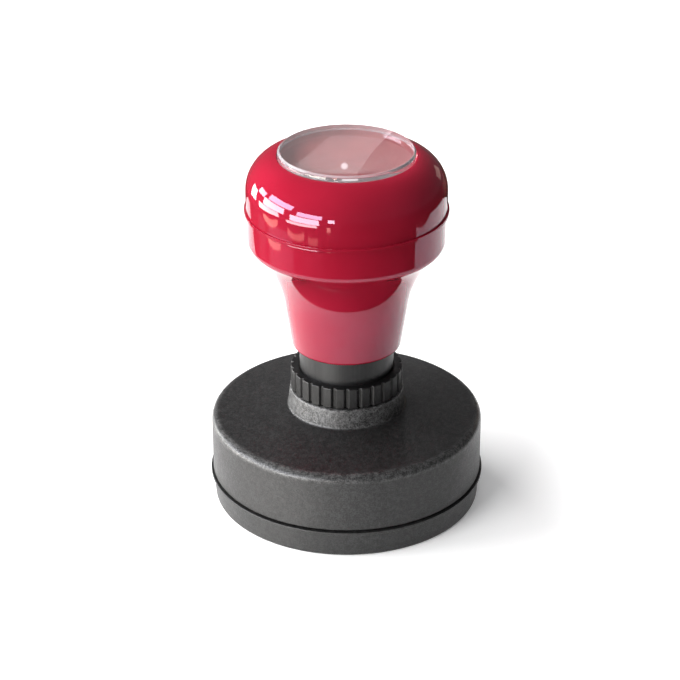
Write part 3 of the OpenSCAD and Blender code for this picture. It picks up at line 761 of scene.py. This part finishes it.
for build in (makeDustCap, makeHousing, makeNeckTube, makeAdjustingRing, makeDragRing, makeReturnSpring,
              makeGrip, makeCrown, makeIndexCard, makeIndexLens, makeDie, makeInkPad, makeDieFrame, makeBumper):
    made = build()
    print("made", made.name, len(made.data.vertices), "vertices")


# CAD nodes that stay in view keep their shape and take a finish
carried = {"neck_clip": "steel", "spring_seat": "steel", "spring_cup": "steel", "handle_screw": "steel",
           "screw_washer": "steel", "die_holder": "white_moulding"}
for node, slot in carried.items():
    part = frame["nodes"][node]
    if not part.material_slots:
        part.data.materials.append(finishes[slot])
    for place in part.material_slots:
        place.material = finishes[slot]
print("carried over:", len(carried), "nodes")


# stage: the pale floor that the camera sees, and under it a white sheet on a dark table that the stamp reflects
paleWhite = {"first": (0.94, 0.94, 0.94), "second": (0.96, 0.96, 0.96), "constants": {
    "Roughness": 0.9, "Specular IOR Level": 0.0, "Emission Color": (1, 1, 1, 1), "Emission Strength": 0.16}}


def makeFloor():
    sizes = {"half": 4.0}
    bpy.ops.mesh.primitive_plane_add(size=2 * sizes["half"])
    floor = bpy.context.object
    floor.name = "floor"
    painted(floor, "paleFloor", **paleWhite)
    floor.visible_diffuse = False
    floor.visible_glossy = False
    floor.visible_shadow = False


def painted(stagePiece, name, first, second, constants):
    material, shader, coords = newFinish(name, constants)
    plug(shader, "Base Color", mixed(ramp(noise(coords, 90, 2), 0.3, 0.7), first, second))
    stagePiece.data.materials.append(material)


def makeTable():
    sizes = {"below": 0.3, "far": 14, "brink": 1.42, "windowSide": -10, "front": 107, "arc": (148, 349, 5),
             "right": 150, "back": 132, "left": -104, "leftLow": 66, "rightLow": -24}
    edge = [(sizes["front"] * math.cos(math.radians(az)), sizes["front"] * math.sin(math.radians(az)))
            for az in range(*sizes["arc"])]
    edge += [(sizes["right"], sizes["rightLow"]), (sizes["right"], sizes["back"]),
             (sizes["left"], sizes["back"]), (sizes["left"], sizes["leftLow"])]
    sheetMesh, tableMesh = bmesh.new(), bmesh.new()
    depth = -sizes["below"] * mm
    sheetMesh.faces.new([sheetMesh.verts.new((x * mm, y * mm, depth)) for x, y in edge])
    near = [tableMesh.verts.new((x * mm, y * mm, depth)) for x, y in edge]
    far = []
    for x, y in edge:
        out = sizes["brink"] if x < sizes["windowSide"] else sizes["far"]  # it ends soon towards the windows
        far.append(tableMesh.verts.new((x * mm * out, y * mm * out, depth)))
    for k in range(len(edge)):
        tableMesh.faces.new((far[k - 1], far[k], near[k], near[k - 1]))
    sheet, table = asPiece("whiteSheet", sheetMesh), asPiece("darkTable", tableMesh)
    for part in (sheet, table):
        part.visible_camera = False
        part.visible_transmission = False
        part.visible_shadow = False
    painted(sheet, "whiteSheet", **paleWhite)
    painted(table, "darkTable", (0.020, 0.014, 0.010), (0.045, 0.028, 0.018), {
        "Roughness": 0.22, "Specular IOR Level": 0.12, "Specular Tint": (1.0, 0.5, 0.32, 1)})


makeFloor()
makeTable()


# lights stand on a sphere round the handle: turn from the right hand side, height over the table
aim = Vector((0, 0, 55 * mm))


def softLight(name, az, el, away, wide, tall, radiance, colour=(1, 1, 1), diffuse=True, glossy=True, lean=0):
    lamp = bpy.data.lights.new(name, "AREA")
    lamp.shape = "RECTANGLE"
    lamp.size = 2 * away * math.tan(math.radians(wide) / 2)
    lamp.size_y = 2 * away * math.tan(math.radians(tall) / 2)
    lamp.energy = radiance * math.pi * lamp.size * lamp.size_y
    lamp.color = colour
    holder = bpy.data.objects.new(name, lamp)
    scene.collection.objects.link(holder)
    toLamp = Vector((math.cos(math.radians(az)) * math.cos(math.radians(el)),
                     math.sin(math.radians(az)) * math.cos(math.radians(el)), math.sin(math.radians(el))))
    holder.location = aim + toLamp * away
    holder.rotation_mode = "QUATERNION"
    holder.rotation_quaternion = toLamp.to_track_quat("Z", "Y") @ Quaternion((0, 0, 1), math.radians(lean))
    holder.visible_camera = False
    holder.visible_diffuse = diffuse
    holder.visible_glossy = glossy
    holder.visible_transmission = glossy


def makeLights():
    window = {"away": 1.15, "glow": 9.5, "rows": (
        {"tint": (1.0, 0.93, 0.80), "radiance": 17, "panes": ((158, 190, -17, -6.4), (201, 236, -23, -16.2))},
        {"tint": (1.0, 0.99, 0.95), "radiance": 20, "panes": ((139, 151, -11, 5), (166, 198, -5.4, 9.2),
                                                              (206, 240, -14.8, 0.9), (250, 257, -4, 6))},
        {"tint": (0.86, 0.88, 1.0), "radiance": 17, "panes": ((152, 165, 6.5, 17), (172, 206, 11.2, 24),
                                                              (214, 243, 3.0, 14))})}
    for r, row in enumerate(window["rows"]):
        for left, right, low, high in row["panes"]:
            softLight(f"pane{r}_{left}", (left + right) / 2, (low + high) / 2, window["away"], right - left,
                      high - low, row["radiance"], row["tint"], diffuse=False)
    patch = {"tint": (1.0, 0.50, 0.34), "spots": (
        (178.5, -19.85, 157, 22, 0.65, 7), (214, -20.1, 157, 19, 0.6, 5), (184, -21.5, 144, 18, 0.75, 5),
        (234, -20.1, 157, 10, 0.6, 3), (251, -17, 190, 4, 6, 9))}
    for az, el, away, wide, tall, radiance in patch["spots"]:
        softLight(f"patch_{az}", az, el, away * mm, wide, tall, radiance, patch["tint"], diffuse=False)
    for left, right in ((122, 160), (165, 200), (208, 240)):
        softLight(f"glow_{left}", (left + right) / 2, 21, window["away"], right - left, 38, window["glow"],
                  glossy=False)
    softLight("overhead", 150, 78, 1.2, 85, 75, 0.7, (1, 1, 1), glossy=False)
    softLight("backWall", 92.0, 24, 1.2, 8.2, 44, 0.75, (1, 0.98, 0.98), diffuse=False, lean=-10)
    softLight("warmSide", 55, 6, 1.2, 14, 10, 0.8, (1, 0.75, 0.6), diffuse=False)
    world = bpy.data.worlds.new("studioRoom")
    scene.world = world
    world.use_nodes = True
    world.node_tree.nodes["Background"].inputs["Color"].default_value = (0.12, 0.12, 0.125, 1)


# the camera stands where it fits the outlines of the drum, the neck and the knob in the photo
def makeCamera():
    view = {"eye": (-0.1, -365.9, 221.9), "yaw": -0.181, "pitch": 27.401, "roll": -0.061, "lens": 114.25}
    lens = bpy.data.cameras.new("camera")
    lens.lens = view["lens"]
    lens.sensor_width = 36
    lens.sensor_fit = "HORIZONTAL"
    lens.clip_start = 0.01
    camera = bpy.data.objects.new("camera", lens)
    scene.collection.objects.link(camera)
    yaw, pitch = math.radians(view["yaw"]), math.radians(view["pitch"])
    look = Vector((math.sin(yaw) * math.cos(pitch), math.cos(yaw) * math.cos(pitch), -math.sin(pitch)))
    camera.location = Vector(view["eye"]) * mm
    camera.rotation_mode = "QUATERNION"
    camera.rotation_quaternion = (look.to_track_quat("-Z", "Y")
                                  @ Quaternion((0, 0, 1), math.radians(view["roll"])))
    scene.camera = camera


makeLights()
makeCamera()
scene.view_settings.view_transform = "Standard"
print("stage, lights and camera set")
